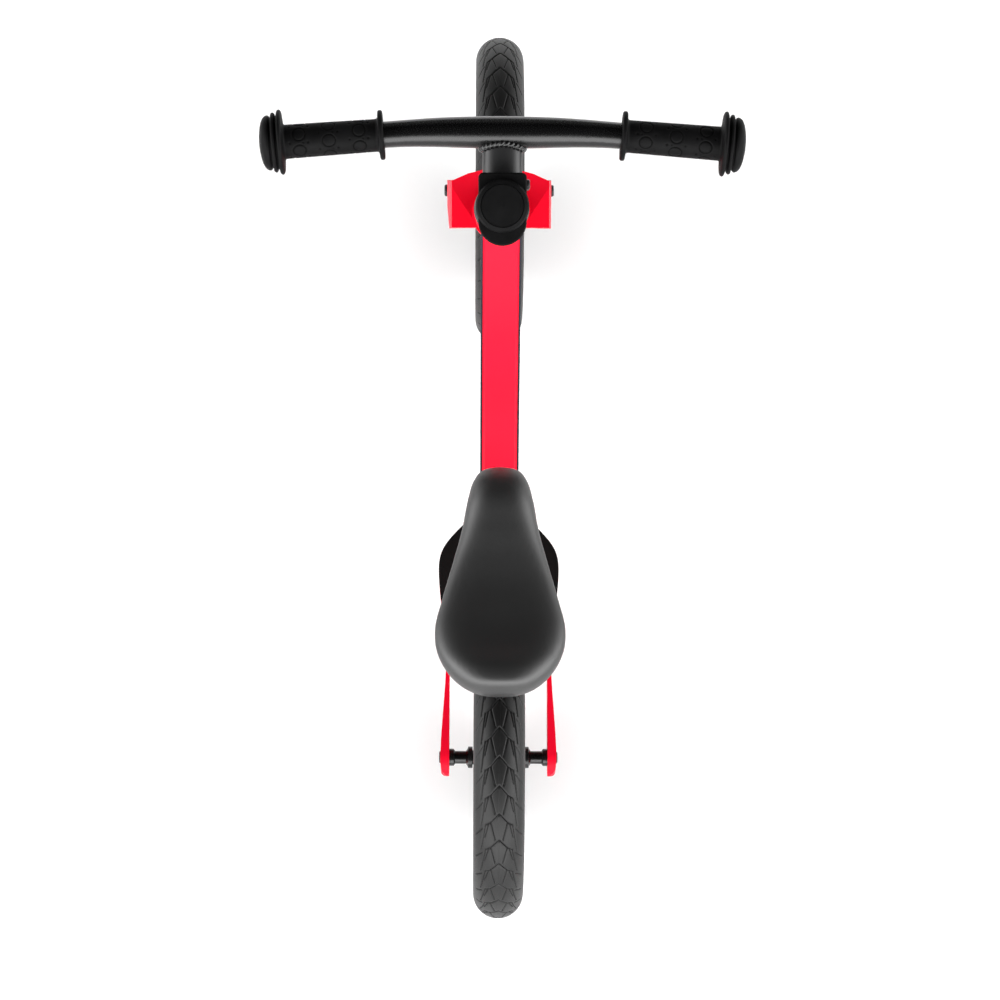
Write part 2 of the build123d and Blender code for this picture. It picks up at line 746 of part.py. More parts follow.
def neck(half_width, half_height):
    """An oval bar from inside the clamp block out to the handlebar's centre."""
    start = Plane(origin=(NECK_START, 0, BAR_HEIGHT), x_dir=(0, 1, 0), z_dir=(1, 0, 0))
    return extrude(start * Ellipse(half_width, half_height), BAR_REACH - NECK_START)


def stem():
    """A clamp block on the steerer and a hollow oval neck out to the handlebar."""
    block = rounded_block(stem_plan(), STEM_LOW, STEM_TOP, 3.5)
    body = block + neck(NECK_HALF_WIDTH, NECK_HALF_HEIGHT)
    body -= neck(NECK_HALF_WIDTH - NECK_WALL, NECK_HALF_HEIGHT - NECK_WALL)
    body -= rod(STEERER_RADIUS, STEM_LOW - 1, STEM_TOP + 1)
    body -= Pos(STEM_FRONT - SLOT_LENGTH / 2, 0, (STEM_LOW + STEM_TOP) / 2) * Box(SLOT_LENGTH, 2, 60)
    body -= bar_solid(BAR_CENTRE_RADIUS, BAR_END_RADIUS)
    for level in STEM_BOLTS:
        body -= across((STEM_BOLT_AHEAD, 0, level)) * rod(2.6, -40, 40)
    return HEAD * body


def stem_bolts():
    bolts = []
    for level in STEM_BOLTS:
        place = across((STEM_BOLT_AHEAD, -STEM_HALF_WIDTH, level), -1)
        bolts.append(HEAD * place * socket_bolt(2.55, 36, 4.3, 3.6, 2.0))
    return group(bolts)


def bar_path():
    """The handlebar's centre line, bent gently back towards both ends."""
    bend = 68.0
    back = BAR_REACH - (BAR_HALF_LENGTH - bend) * tan(radians(BAR_SWEEP))
    return FilletPolyline(
        (back, -BAR_HALF_LENGTH, BAR_HEIGHT),
        (BAR_REACH, -bend, BAR_HEIGHT),
        (BAR_REACH, bend, BAR_HEIGHT),
        (back, BAR_HALF_LENGTH, BAR_HEIGHT),
        radius=800,
    )


def bar_solid(centre, end):
    """A round bar along that line: plain under the grips, and thickening towards the stem."""
    path = bar_path()
    length = path.length
    half = [
        (BAR_STRAIGHT, end),
        (length / 2 - 66, end + BAR_SHOULDER_RADIUS - BAR_END_RADIUS),
        (length / 2 - 16, centre),
    ]
    sections = []
    for along, radius in half + [(length - along, radius) for along, radius in reversed(half)]:
        where = along / length
        sections.append(Plane(origin=path @ where, z_dir=path % where) * Circle(radius))
    middle = path.trim(BAR_STRAIGHT / length, 1 - BAR_STRAIGHT / length)
    body = sweep(sections, middle, multisection=True)
    body += Plane(origin=path @ 0, z_dir=path % 0).location * rod(end, 0, BAR_STRAIGHT)
    return body + Plane(origin=path @ 1, z_dir=-(path % 1)).location * rod(end, 0, BAR_STRAIGHT)


def handlebar():
    wall = 2.0
    outside = bar_solid(BAR_CENTRE_RADIUS, BAR_END_RADIUS)
    return HEAD * (outside - bar_solid(BAR_CENTRE_RADIUS - wall, BAR_END_RADIUS - wall))


def grip(side):
    """A rubber grip with a thumb flange inside and three rings round its closed end."""
    bore = BAR_END_RADIUS
    end = GRIP_LENGTH
    closed = end - (GRIP_END - BAR_HALF_LENGTH) - 0.2
    body = lathe(
        (bore, 0),
        (19.8, 0),
        (20.8, 1.0),
        (20.8, 3.0),
        (19.8, 4.0),
        (14.6, 4.6),
        (13.7, 6.5),
        (14.4, 82.9),
        (15.6, 84.4),
        (25.6, 85.0),
        (27.0, 86.0),
        (27.4, 87.0),
        (27.0, 88.0),
        (25.6, 88.8),
        (22.6, 89.4),
        (22.6, 90.2),
        (24.4, 90.7),
        (25.2, 91.7),
        (25.2, 92.7),
        (24.4, 93.6),
        (21.4, 94.3),
        (21.4, 95.1),
        (22.6, 95.8),
        (23.2, 97.0),
        (22.8, 98.6),
        (20.8, 100.8),
        (17.0, 102.7),
        (11.0, 104.1),
        (5.0, 104.8),
        (0, end),
        (0, closed),
        (bore, closed),
    )
    path = bar_path()
    tip = tuple(path @ (1 if side > 0 else 0))
    sweep_angle = radians(BAR_SWEEP)
    outward = (-sin(sweep_angle), side * cos(sweep_angle), 0)
    start = tuple(tip[i] - closed * outward[i] for i in range(3))
    return HEAD * (Plane(origin=start, x_dir=(0, 0, 1), z_dir=outward).location * body)


PRELOAD_CAP = 3.5


def preload_cap():
    edge = STEM_TOP + 2
    high = STEM_TOP + PRELOAD_CAP
    top = lathe((0, STEM_TOP), (17, STEM_TOP), (17, edge), (15.5, high), (0, high))
    return HEAD * (top - rod(3.1, STEM_TOP - 1, STEM_TOP + 5))


def preload_bolt():
    return HEAD * Pos(0, 0, STEM_TOP + PRELOAD_CAP) * socket_bolt(3.0, 44, 5.0, 3.0, 2.3)


def star_nut():
    """A two-tier star plate driven into the steerer, which the preload bolt pulls on."""
    inside = STEERER_RADIUS - 2.2
    body = rod(5.0, 388, 402) + rod(inside, 390, 391.2) + rod(inside, 398, 399.2)
    body -= rod(3.0, 380, 410)
    for place in PolarLocations(inside, 6):
        body -= place * rod(3.0, 380, 410)
    return HEAD * body


def stem_cap():
    """A soft cover over the clamp block's top, with a raised disc that has a groove near its rim."""
    sheet = rounded_block(stem_plan(0.8), STEM_TOP, STEM_TOP + 2.6, 4.3)
    sheet = fillet(sheet.faces().sort_by(Axis.Z)[-1].edges(), 1.5)
    disc = lathe(
        (0, STEM_TOP),
        (22.3, STEM_TOP),
        (22.3, STEM_TOP + 8.0),
        (21.0, STEM_TOP + 10.6),
        (18.4, STEM_TOP + 11.6),
        (18.1, STEM_TOP + 11.0),
        (17.6, STEM_TOP + 11.0),
        (17.3, STEM_TOP + 11.8),
        (0, STEM_TOP + 12.4),
    )
    return HEAD * (sheet + disc - rod(17.3, STEM_TOP - 1, STEM_TOP + 7.4))


# ---------------------------------------------------------------- the sub-parts
parts = {
    "frame": frame(),
    "side_trim_left": side_trim(),
    "side_trim_right": mirror(side_trim(), Plane.XZ),
    "footrest_pad_left": footrest_pad(),
    "footrest_pad_right": mirror(footrest_pad(), Plane.XZ),
    "headset_outer_races": headset_races(HEAD_RACE_OUTER, HEAD_RACE_OUTER_BORE),
    "seat_collar": SEAT * seat_collar(),
    "seat_collar_bolt": SEAT * seat_collar_bolt(),
    "seat_collar_nut": SEAT * seat_collar_nut(),
    "seatpost": SEAT * seatpost(),
    "saddle_clamp_yoke": SEAT * clamp_yoke(),
    "saddle_clamp_inner_plates": clamp_inner_plates(),
    "saddle_clamp_outer_plates": clamp_outer_plates(),
    "saddle_clamp_bolt": clamp_bolt(),
    "saddle_clamp_nut": clamp_nut(),
    "saddle_rails": rails(),
    "saddle_base": saddle_base(),
    "saddle_cover": saddle_cover(),
    "fork": fork(),
    "steerer_tube": steerer(),
    "crown_race": crown_race(),
    "headset_inner_races": headset_races(HEAD_RACE_INNER_EDGE, STEERER_RADIUS),
    "headset_balls": headset_balls(),
    "compression_ring": compression_ring(),
    "headset_cover": headset_cover(),
    "headset_spacers": headset_spacers(),
    "stem": stem(),
    "stem_pinch_bolts": stem_bolts(),
    "handlebar": handlebar(),
    "grip_left": grip(1),
    "grip_right": grip(-1),
    "preload_cap": preload_cap(),
    "preload_bolt": preload_bolt(),
    "star_nut": star_nut(),
    "stem_cover_cap": stem_cap(),
}

for end, axle_at, bolt_seat in (
    ("front", FRONT_AXLE, FRONT_BOLT_SEAT),
    ("rear", REAR_AXLE, REAR_BOLT_SEAT),
):
    place = across(axle_at)
    parts[f"{end}_axle"] = place * axle()
    parts[f"{end}_axle_spacers"] = place * spacers()
    parts[f"{end}_axle_bolts"] = place * axle_bolts(bolt_seat)
    parts[f"{end}_bearing_inner_races"] = place * inner_races()
    parts[f"{end}_bearing_outer_races"] = place * outer_races()
    parts[f"{end}_bearing_balls"] = place * wheel_balls()
    parts[f"{end}_bearing_seals"] = place * bearing_seals()
    parts[f"{end}_wheel"] = place * wheel()
    parts[f"{end}_tyre"] = place * tyre()
    parts[f"{end}_inner_tube"] = place * inner_tube()
    parts[f"{end}_valve"] = place * valve()
    parts[f"{end}_valve_cap"] = place * valve_cap()

for name, shape in parts.items():
    export_step(shape, f"parts/{name}.step")
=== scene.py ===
import json
from math import cos, pi, radians, sin, tan

import bpy
import numpy as np
from mathutils import Matrix, Vector


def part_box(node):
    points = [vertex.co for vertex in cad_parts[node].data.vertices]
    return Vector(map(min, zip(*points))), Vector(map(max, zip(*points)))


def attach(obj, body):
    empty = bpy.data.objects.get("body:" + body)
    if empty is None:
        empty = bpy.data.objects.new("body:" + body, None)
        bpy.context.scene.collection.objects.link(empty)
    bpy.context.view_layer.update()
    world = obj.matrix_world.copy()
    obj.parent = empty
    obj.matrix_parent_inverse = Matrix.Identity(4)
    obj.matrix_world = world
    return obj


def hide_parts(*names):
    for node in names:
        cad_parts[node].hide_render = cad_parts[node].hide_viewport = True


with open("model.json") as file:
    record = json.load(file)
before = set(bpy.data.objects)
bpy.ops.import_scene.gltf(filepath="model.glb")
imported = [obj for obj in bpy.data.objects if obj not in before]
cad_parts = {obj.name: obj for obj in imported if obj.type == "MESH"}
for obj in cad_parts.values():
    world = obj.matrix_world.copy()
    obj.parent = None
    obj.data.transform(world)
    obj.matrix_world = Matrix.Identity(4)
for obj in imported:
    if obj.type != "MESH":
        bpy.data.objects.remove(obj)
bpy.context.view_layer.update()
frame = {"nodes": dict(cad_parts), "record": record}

record = frame["record"]
joints = {joint["name"]: joint for joint in record["behaviour"]["joints"]}
MM = 0.001


# ---------------------------------------------------------------- places read from the frame
FRONT_AXLE = Vector(joints["front_wheel_spin"]["pos_m"])
REAR_AXLE = Vector(joints["rear_wheel_spin"]["pos_m"])
STEER_UP = Vector(joints["steering_turn"]["axis"]).normalized()
STEER_POINT = Vector(joints["steering_turn"]["pos_m"])
STEER_AHEAD = Vector((STEER_UP.z, 0, -STEER_UP.x))
LEFT = Vector((0, 1, 0))
TYRE_LOW, TYRE_HIGH = (Vector(corner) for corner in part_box("rear_tyre"))
TYRE_RADIUS = (TYRE_HIGH.z - TYRE_LOW.z) / 2
TYRE_HALF_WIDTH = (TYRE_HIGH.y - TYRE_LOW.y) / 2

# The handlebar's line: ahead of the steering axis, up along it, where its ends start, and
# the degrees they sweep back.
BAR_REACH = 62.3 * MM
BAR_HEIGHT = 403.0 * MM
BAR_BEND = 68.0 * MM
BAR_SWEEP = 4.3


def along_steerer(ahead, left, up):
    """A point given ahead of the steering axis, to the left, and above the front axle's level."""
    foot = FRONT_AXLE - STEER_AHEAD * (FRONT_AXLE - STEER_POINT).dot(STEER_AHEAD)
    return foot + STEER_AHEAD * ahead + LEFT * left + STEER_UP * up


# ---------------------------------------------------------------- materials
class Paint:
    """One material's node tree, built step by step."""

    def __init__(self, name):
        self.material = bpy.data.materials.new(name)
        self.material.use_nodes = True
        self.tree = self.material.node_tree
        self.shader = self.tree.nodes["Principled BSDF"]
        self.coords = self.add("ShaderNodeTexCoord").outputs["Object"]

    def add(self, kind, **settings):
        node = self.tree.nodes.new(kind)
        for key, value in settings.items():
            setattr(node, key, value)
        return node

    def link(self, source, target):
        self.tree.links.new(source, target)

    def set(self, **values):
        """Constants on the shader's own sockets."""
        for key, value in values.items():
            self.shader.inputs[key.replace("_", " ")].default_value = value

    def noise(self, scale, detail=3.0, rough=0.55, stretch=(1, 1, 1)):
        """Noise, with its scale in cycles per metre."""
        node = self.add("ShaderNodeTexNoise")
        node.inputs["Scale"].default_value = scale
        node.inputs["Detail"].default_value = detail
        node.inputs["Roughness"].default_value = rough
        place = self.add("ShaderNodeMapping")
        place.inputs["Scale"].default_value = stretch
        self.link(self.coords, place.inputs["Vector"])
        self.link(place.outputs["Vector"], node.inputs["Vector"])
        return node.outputs["Fac"]

    def cells(self, scale):
        """Distance from the nearest of many scattered points."""
        node = self.add("ShaderNodeTexVoronoi")
        node.inputs["Scale"].default_value = scale
        self.link(self.coords, node.inputs["Vector"])
        return node.outputs["Distance"]

    def ramp(self, source, low, high, start=0.0, end=1.0):
        """Maps source from low..high to start..end."""
        node = self.add("ShaderNodeMapRange")
        node.inputs["From Min"].default_value = low
        node.inputs["From Max"].default_value = high
        node.inputs["To Min"].default_value = start
        node.inputs["To Max"].default_value = end
        self.link(source, node.inputs["Value"])
        return node.outputs["Result"]

    def blend(self, factor, first, second):
        """A colour between two."""
        node = self.add("ShaderNodeMix", data_type="RGBA")
        for socket, value in (("A", first), ("B", second)):
            slot = [s for s in node.inputs if s.name == socket and s.type == "RGBA"][0]
            if isinstance(value, tuple):
                slot.default_value = (*value, 1)
            else:
                self.link(value, slot)
        share = [s for s in node.inputs if s.name == "Factor" and s.type == "VALUE"][0]
        self.link(factor, share)
        return [s for s in node.outputs if s.type == "RGBA"][0]

    def combine(self, operation, first, second):
        node = self.add("ShaderNodeMath", operation=operation)
        for socket, value in zip(node.inputs, (first, second)):
            if isinstance(value, (int, float)):
                socket.default_value = value
            else:
                self.link(value, socket)
        return node.outputs[0]

    def bump(self, height, strength, distance, before=None):
        node = self.add("ShaderNodeBump")
        node.inputs["Strength"].default_value = strength
        node.inputs["Distance"].default_value = distance
        self.link(height, node.inputs["Height"])
        if before is not None:
            self.link(before, node.inputs["Normal"])
        return node.outputs["Normal"]

    def colour(self, source):
        self.link(source, self.shader.inputs["Base Color"])

    def roughness(self, source):
        self.link(source, self.shader.inputs["Roughness"])

    def normal(self, source):
        self.link(source, self.shader.inputs["Normal"])

    def painted_edge_highlight(self):
        """1 on sharp edges, 0 elsewhere: the mask of the painted edge highlight."""
        geometry = self.add("ShaderNodeNewGeometry")
        return self.ramp(geometry.outputs["Pointiness"], 0.52, 0.62)


DEEP_BLACK = (0.0008, 0.0008, 0.0009)
SOFT_BLACK = (0.0018, 0.0018, 0.0019)


def red_paint():
    """Powder coat over a casting: faint mottling, fine specks and orange peel."""
    paint = Paint("red_paint")
    broad = paint.noise(9, 2)
    fine = paint.noise(420, 4)
    mottling = paint.ramp(broad, 0.3, 0.7)
    base = paint.blend(mottling, (0.70, 0.001, 0.017), (0.78, 0.002, 0.022))
    speck = paint.ramp(paint.noise(2600, 2), 0.62, 0.75, 0, 0.25)
    base = paint.blend(speck, base, (0.88, 0.010, 0.045))
    paint.colour(base)
    paint.roughness(paint.ramp(fine, 0.3, 0.7, 0.40, 0.52))
    peel = paint.bump(paint.noise(900, 2), 0.10, 0.0002)
    paint.normal(paint.bump(paint.noise(140, 2), 0.06, 0.0006, peel))
    paint.set(Specular_IOR_Level=0.10)
    return paint.material


def black_metal(name, dark, light, rough, metallic=0.0):
    """Anodised or painted black metal with fine grain and a painted highlight on its sharp edges.
    """
    paint = Paint(name)
    grain = paint.noise(1500, 4, 0.6)
    broad = paint.noise(14, 3)
    base = paint.blend(paint.ramp(broad, 0.3, 0.7), dark, light)
    # Sharp edges are blended towards a lighter grey: a painted edge highlight.
    edge = paint.combine("MULTIPLY", paint.painted_edge_highlight(), 0.3)
    paint.colour(paint.blend(edge, base, tuple(3 * c + 0.02 for c in light)))
    paint.roughness(paint.ramp(grain, 0.3, 0.7, rough - 0.06, rough + 0.08))
    paint.normal(paint.bump(grain, 0.12, 0.0002))
    paint.set(Metallic=metallic, Specular_IOR_Level=0.45)
    return paint.material


def bright_steel(name, colour, rough):
    """Bare turned metal with a faint stain."""
    paint = Paint(name)
    grain = paint.noise(2200, 3, 0.6, (1, 0.1, 1))
    stain = paint.ramp(paint.noise(60, 4), 0.45, 0.7)
    paint.colour(paint.blend(stain, colour, tuple(c * 0.75 for c in colour)))
    paint.roughness(paint.ramp(grain, 0.3, 0.7, rough, rough + 0.12))
    paint.normal(paint.bump(grain, 0.08, 0.0001))
    paint.set(Metallic=1.0)
    return paint.material


def tyre_rubber():
    """Black rubber, duller down in the tread's grooves, and darker there with painted shade."""
    paint = Paint("tyre_rubber")
    groove_shade = paint.add("ShaderNodeAttribute", attribute_name="groove_shade").outputs["Fac"]
    fine = paint.noise(1800, 4)
    broad = paint.noise(35, 4)
    bloom = paint.ramp(broad, 0.3, 0.75)
    base = paint.blend(bloom, (0.001, 0.001, 0.001), (0.003, 0.003, 0.003))
    # Painted shade: the colour is darkened down in the tread's grooves.
    paint.colour(paint.blend(groove_shade, base, (0.0004, 0.0004, 0.0004)))
    rough = paint.ramp(fine, 0.3, 0.7, 0.42, 0.54)
    paint.roughness(paint.combine("MAXIMUM", rough, groove_shade))
    paint.normal(paint.bump(fine, 0.22, 0.0003))
    paint.set(Specular_IOR_Level=0.32)
    return paint.material


def grip_rubber():
    """Soft black rubber, duller in its moulded pattern, and darker there with painted shade."""
    paint = Paint("grip_rubber")
    fine = paint.noise(2600, 3)
    broad = paint.noise(50, 3)
    groove_shade = paint.add("ShaderNodeAttribute", attribute_name="groove_shade").outputs["Fac"]
    bloom = paint.ramp(broad, 0.3, 0.7)
    base = paint.blend(bloom, (0.0016, 0.0016, 0.0017), (0.0038, 0.0038, 0.004))
    # Painted shade: the colour is darkened in the moulded pattern's grooves.
    paint.colour(paint.blend(groove_shade, base, (0.0005, 0.0005, 0.0005)))
    paint.roughness(paint.combine("MAXIMUM", paint.ramp(fine, 0.3, 0.7, 0.5, 0.64), groove_shade))
    paint.normal(paint.bump(fine, 0.2, 0.0002))
    paint.set(Specular_IOR_Level=0.07)
    return paint.material


def grip_tape():
    """Grit in black resin, with painted glints as lighter specks."""
    paint = Paint("grip_tape")
    grit = paint.cells(1500)
    fine = paint.noise(3200, 4)
    # Painted glints: scattered specks of lighter colour on the grit.
    painted_glint = paint.ramp(fine, 0.6, 0.75, 0, 0.5)
    paint.colour(paint.blend(painted_glint, (0.003, 0.003, 0.003), (0.016, 0.016, 0.017)))
    paint.roughness(paint.ramp(fine, 0.3, 0.7, 0.72, 0.92))
    paint.normal(paint.bump(fine, 0.5, 0.0004, paint.bump(grit, 0.5, 0.0004)))
    paint.set(Specular_IOR_Level=0.15)
    return paint.material


def saddle_skin():
    """Soft moulded skin with a very fine leather grain."""
    paint = Paint("saddle_skin")
    pores = paint.cells(1900)
    wrinkle = paint.noise(900, 5, 0.62)
    broad = paint.noise(18, 3)
    paint.colour(paint.blend(paint.ramp(broad, 0.3, 0.7), DEEP_BLACK, SOFT_BLACK))
    paint.roughness(paint.ramp(wrinkle, 0.3, 0.7, 0.43, 0.51))
    paint.normal(paint.bump(wrinkle, 0.10, 0.0002, paint.bump(pores, 0.10, 0.00015)))
    paint.set(Specular_IOR_Level=0.8)
    return paint.material


def black_plastic(name, colour, rough):
    """Moulded plastic with a fine texture."""
    paint = Paint(name)
    texture = paint.noise(1600, 4)
    broad = paint.noise(20, 2)
    paler = tuple(1.5 * c for c in colour)
    paint.colour(paint.blend(paint.ramp(broad, 0.3, 0.7), colour, paler))
    paint.roughness(paint.ramp(texture, 0.3, 0.7, rough - 0.08, rough + 0.08))
    paint.normal(paint.bump(texture, 0.18, 0.0002))
    paint.set(Specular_IOR_Level=0.1)
    return paint.material


MATERIALS = {
    "red_paint": red_paint(),
    "dark_trim": black_plastic("dark_trim", (0.012, 0.012, 0.018), 0.42),
    "grip_tape": grip_tape(),
    "black_alloy": black_metal("black_alloy", DEEP_BLACK, SOFT_BLACK, 0.24),
    # The stem gets a lighter copy of the black alloy: painted light, so it reads brighter than the
    # bar.
    "stem_alloy_painted_lighter": black_metal(
        "stem_alloy_painted_lighter", (0.009, 0.009, 0.0094), (0.015, 0.015, 0.0155), 0.34
    ),
    "wheel_paint": black_metal(
        "wheel_paint", (0.003, 0.003, 0.003), (0.006, 0.006, 0.006), 0.42
    ),
    "black_steel": black_metal(
        "black_steel", (0.010, 0.010, 0.011), (0.02, 0.02, 0.021), 0.33, 0.6
    ),
    "bearing_steel": bright_steel("bearing_steel", (0.62, 0.62, 0.63), 0.14),
    "steel": bright_steel("steel", (0.5, 0.5, 0.51), 0.28),
    "tyre_rubber": tyre_rubber(),
    "soft_rubber": grip_rubber(),
    "saddle_skin": saddle_skin(),
    "black_plastic": black_plastic("black_plastic", (0.0016, 0.0016, 0.0018), 0.55),
    "brass_valve": bright_steel("brass_valve", (0.72, 0.52, 0.22), 0.25),
}
# The stem is given its lighter copy of the black alloy here: painted light.
LOOKS_APART = {"stem": "stem_alloy_painted_lighter"}  # nodes that don't look like the rest of their slot


def paint_nodes():
    """Every CAD node gets the material of its slot in the record, or one of its own."""
    for entry in record["subparts"]:
        node = frame["nodes"][entry["node"]]
        material = MATERIALS[LOOKS_APART.get(entry["node"], entry["material_slot"])]
        if not node.material_slots:
            node.data.materials.append(material)
        for slot in node.material_slots:
            slot.material = material


# ---------------------------------------------------------------- mesh helpers
def make_piece(name, points, faces, material):
    """A smooth-shaded object made of these points and faces."""
    mesh = bpy.data.meshes.new(name)
    mesh.from_pydata([tuple(p) for p in points], [], faces)
    mesh.validate()
    piece = bpy.data.objects.new(name, mesh)
    bpy.context.scene.collection.objects.link(piece)
    mesh.materials.append(material)
    mesh.polygons.foreach_set("use_smooth", [True] * len(mesh.polygons))
    return piece


def grid_faces(rows, columns, rows_closed, columns_closed):
    """Quads over a grid of points listed row by row."""
    row = np.arange(rows if rows_closed else rows - 1)[:, None]
    column = np.arange(columns if columns_closed else columns - 1)[None, :]
    next_row = (row + 1) % rows
    next_column = (column + 1) % columns
    corners = [
        row * columns + column,
        row * columns + next_column,
        next_row * columns + next_column,
        next_row * columns + column,
    ]
    return np.stack(np.broadcast_arrays(*corners), axis=-1).reshape(-1, 4).tolist()


def curve_through(knots, count):
    """Points along a smooth curve through the knots."""
    knots = np.array(knots, float)
    step = np.linalg.norm(np.diff(knots, axis=0), axis=1)
    at = np.concatenate([[0], np.cumsum(step)])
    slope = np.gradient(knots, at, axis=0)
    where = np.linspace(0, at[-1], count)
    k = np.clip(np.searchsorted(at, where, side="right") - 1, 0, len(at) - 2)
    span = (at[k + 1] - at[k])[:, None]
    t = ((where - at[k]) / span[:, 0])[:, None]
    before = (2 * t**3 - 3 * t**2 + 1) * knots[k] + (t**3 - 2 * t**2 + t) * span * slope[k]
    after = (3 * t**2 - 2 * t**3) * knots[k + 1] + (t**3 - t**2) * span * slope[k + 1]
    return before + after


def mark(piece, name, values):
    """A number at each point, for the material."""
    layer = piece.data.attributes.new(name, "FLOAT", "POINT")
    layer.data.foreach_set("value", np.asarray(values, np.float32).reshape(-1))


# ---------------------------------------------------------------- tyres
PITCHES = 36
PITCH = 2 * pi * TYRE_RADIUS / PITCHES
TREAD_DEPTH = 1.1 * MM
TREAD_EDGE = radians(66)
RIM_BORE = 102.7 * MM  # where the casing hooks into the rim
LIP_HALF = 11.8 * MM
LIP_WIDTH = 3 * MM
LIP_HEIGHT = 5 * MM
TREAD_FADE = radians(8)  # the grooves run out over this much of the tread's edge
SIDE_WALL = [70, 76, 84, 92, 100, 108, 116, 124, 132]  # degrees round the section

# Grooves of one pitch: ends as (ahead round the tyre, out from its middle), and half width, in mm.
TREAD = [
    ((0.0, 0.0), (-9.0, 7.6), 0.62),
    ((-9.0, 7.6), (-12.5, 13.0), 0.58),
    ((-12.5, 13.0), (-40.0, 17.8), 0.45),
    ((-9.0, 7.6), (-26.0, 3.6), 0.5),
    ((-10.2, 9.6), (-25.0, 13.6), 0.45),
    ((-17.0, 16.0), (-27.0, 25.0), 0.42),
]
CENTRE_LINE = 0.22 * MM  # half width of the moulding line round the middle
CENTRE_LINE_CUT = 0.35


def distance_to(ahead, out, start, end):
    """Distance of each point from a line segment."""
    run = (end[0] - start[0], end[1] - start[1])
    length_squared = run[0] ** 2 + run[1] ** 2
    along = ((ahead - start[0]) * run[0] + (out - start[1]) * run[1]) / length_squared
    along = np.clip(along, 0, 1)
    return np.hypot(ahead - start[0] - along * run[0], out - start[1] - along * run[1])


def tread_cut(ahead, out):
    """How far the tread is cut down at each point, 0 to 1."""
    ahead = np.mod(ahead, PITCH)
    out = np.abs(out)
    cut = np.clip(1.3 - out / CENTRE_LINE, 0, 1) * CENTRE_LINE_CUT
    for start, end, half_width in TREAD:
        for repeat in (0, 1, 2):
            shift = repeat * PITCH
            first = (start[0] * MM + shift, start[1] * MM)
            last = (end[0] * MM + shift, end[1] * MM)
            gap = distance_to(ahead, out, first, last)
            cut = np.maximum(cut, np.clip(1.4 - gap / (half_width * MM), 0, 1))
    return cut


def tyre_section():
    """The casing's line from lip to lip: radius, height, and angle round the section.

    The lips are given an angle of pi, which is outside the tread.
    """
    orbit = TYRE_RADIUS - TYRE_HALF_WIDTH
    across = 95
    tread = np.linspace(-TREAD_EDGE, TREAD_EDGE, across)
    wall = np.radians(SIDE_WALL)
    angles = np.concatenate([-wall[::-1], tread, wall])
    radius = orbit + TYRE_HALF_WIDTH * np.cos(angles)
    height = TYRE_HALF_WIDTH * np.sin(angles)
    inner = LIP_HALF - LIP_WIDTH
    hook = [(RIM_BORE, LIP_HALF), (RIM_BORE, inner), (RIM_BORE + LIP_HEIGHT, inner)]
    radius = np.concatenate([[r for r, _ in hook[::-1]], radius, [r for r, _ in hook]])
    height = np.concatenate([[-h for _, h in hook[::-1]], height, [h for _, h in hook]])
    angles = np.concatenate([[-pi] * len(hook), angles, [pi] * len(hook)])
    return radius, height, angles


def tyre(name, axle, body, node):
    """A casing with a cut tread, its chevrons pointing forward over the top."""
    around = PITCHES * 36
    radius, height, angles = tyre_section()
    turn = np.linspace(0, 2 * pi, around, endpoint=False)[:, None]
    treaded = np.abs(angles) <= TREAD_EDGE + 1e-6
    out = np.where(treaded, angles * TYRE_HALF_WIDTH, 0)
    cut = tread_cut(turn * TYRE_RADIUS, out[None, :]) * treaded[None, :]
    fade = np.clip((TREAD_EDGE - np.abs(angles)) / TREAD_FADE, 0, 1)
    cut = cut * fade[None, :]
    r = radius[None, :] - cut * TREAD_DEPTH * np.cos(angles)[None, :]
    h = height[None, :] - cut * TREAD_DEPTH * np.sin(angles)[None, :]
    x = axle.x + r * np.sin(turn)
    z = axle.z + r * np.cos(turn)
    points = np.stack([x, axle.y + h, z], axis=-1)
    faces = grid_faces(around, len(angles), True, True)
    piece = make_piece(name, points.reshape(-1, 3), faces, MATERIALS["tyre_rubber"])
    # The cut depth also drives the painted shade in the grooves.
    mark(piece, "groove_shade", cut)
    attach(piece, body)
    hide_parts(node)


# ---------------------------------------------------------------- saddle
SADDLE_LOW, SADDLE_HIGH = (Vector(corner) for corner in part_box("saddle_cover"))
SADDLE_EDGE = SADDLE_LOW.z + 7 * MM  # height of the widest line
# Left half of the outline from above, nose to tail, as (back from the nose, half width), in mm.
SADDLE_OUTLINE = [
    (0, 0),
    (1.0, 8.5),
    (4.2, 16.8),
    (14.9, 24.2),
    (29.7, 28.4),
    (59.4, 34.0),
    (89.0, 42.0),
    (118.7, 50.4),
    (148.4, 56.9),
    (163.3, 55.8),
    (178.0, 50.1),
    (193.0, 38.4),
    (201.0, 26.5),
    (205.0, 13.5),
    (206.0, 0),
]
# The ridge from the side, as (back from the nose, height over the widest line), in mm.
SADDLE_RIDGE = [(0, 1.0), (5, 10.0), (14, 18.0), (28, 22.0), (57, 18.2), (85, 13.0)]
SADDLE_RIDGE += [(108, 10.8), (134, 12.6), (163, 19.4), (186, 26.0), (197, 24.0), (206, 8.0)]
SADDLE_NOSE_LEAD = 1.9 * MM  # the padding stands this far ahead of the plain form
SADDLE_POCKET = (15.0 * MM, 195.0 * MM)  # back from the nose, where the underside is hollow
SADDLE_POCKET_DEPTH = 6.1 * MM
SADDLE_RIM = 5.2 * MM  # width of the solid edge round the hollow
SADDLE_TUCK = 3.2 * MM  # how far the edge turns in underneath
DISH_DEPTH = 2.6 * MM
DISH_BACK = 158 * MM
DISH_LENGTH = 24 * MM
DISH_WIDTH = 30 * MM
CROWN_POWER = 2.5  # over 2, the crown is fuller than an ellipse
SKIN_VOXEL = 1.7 * MM


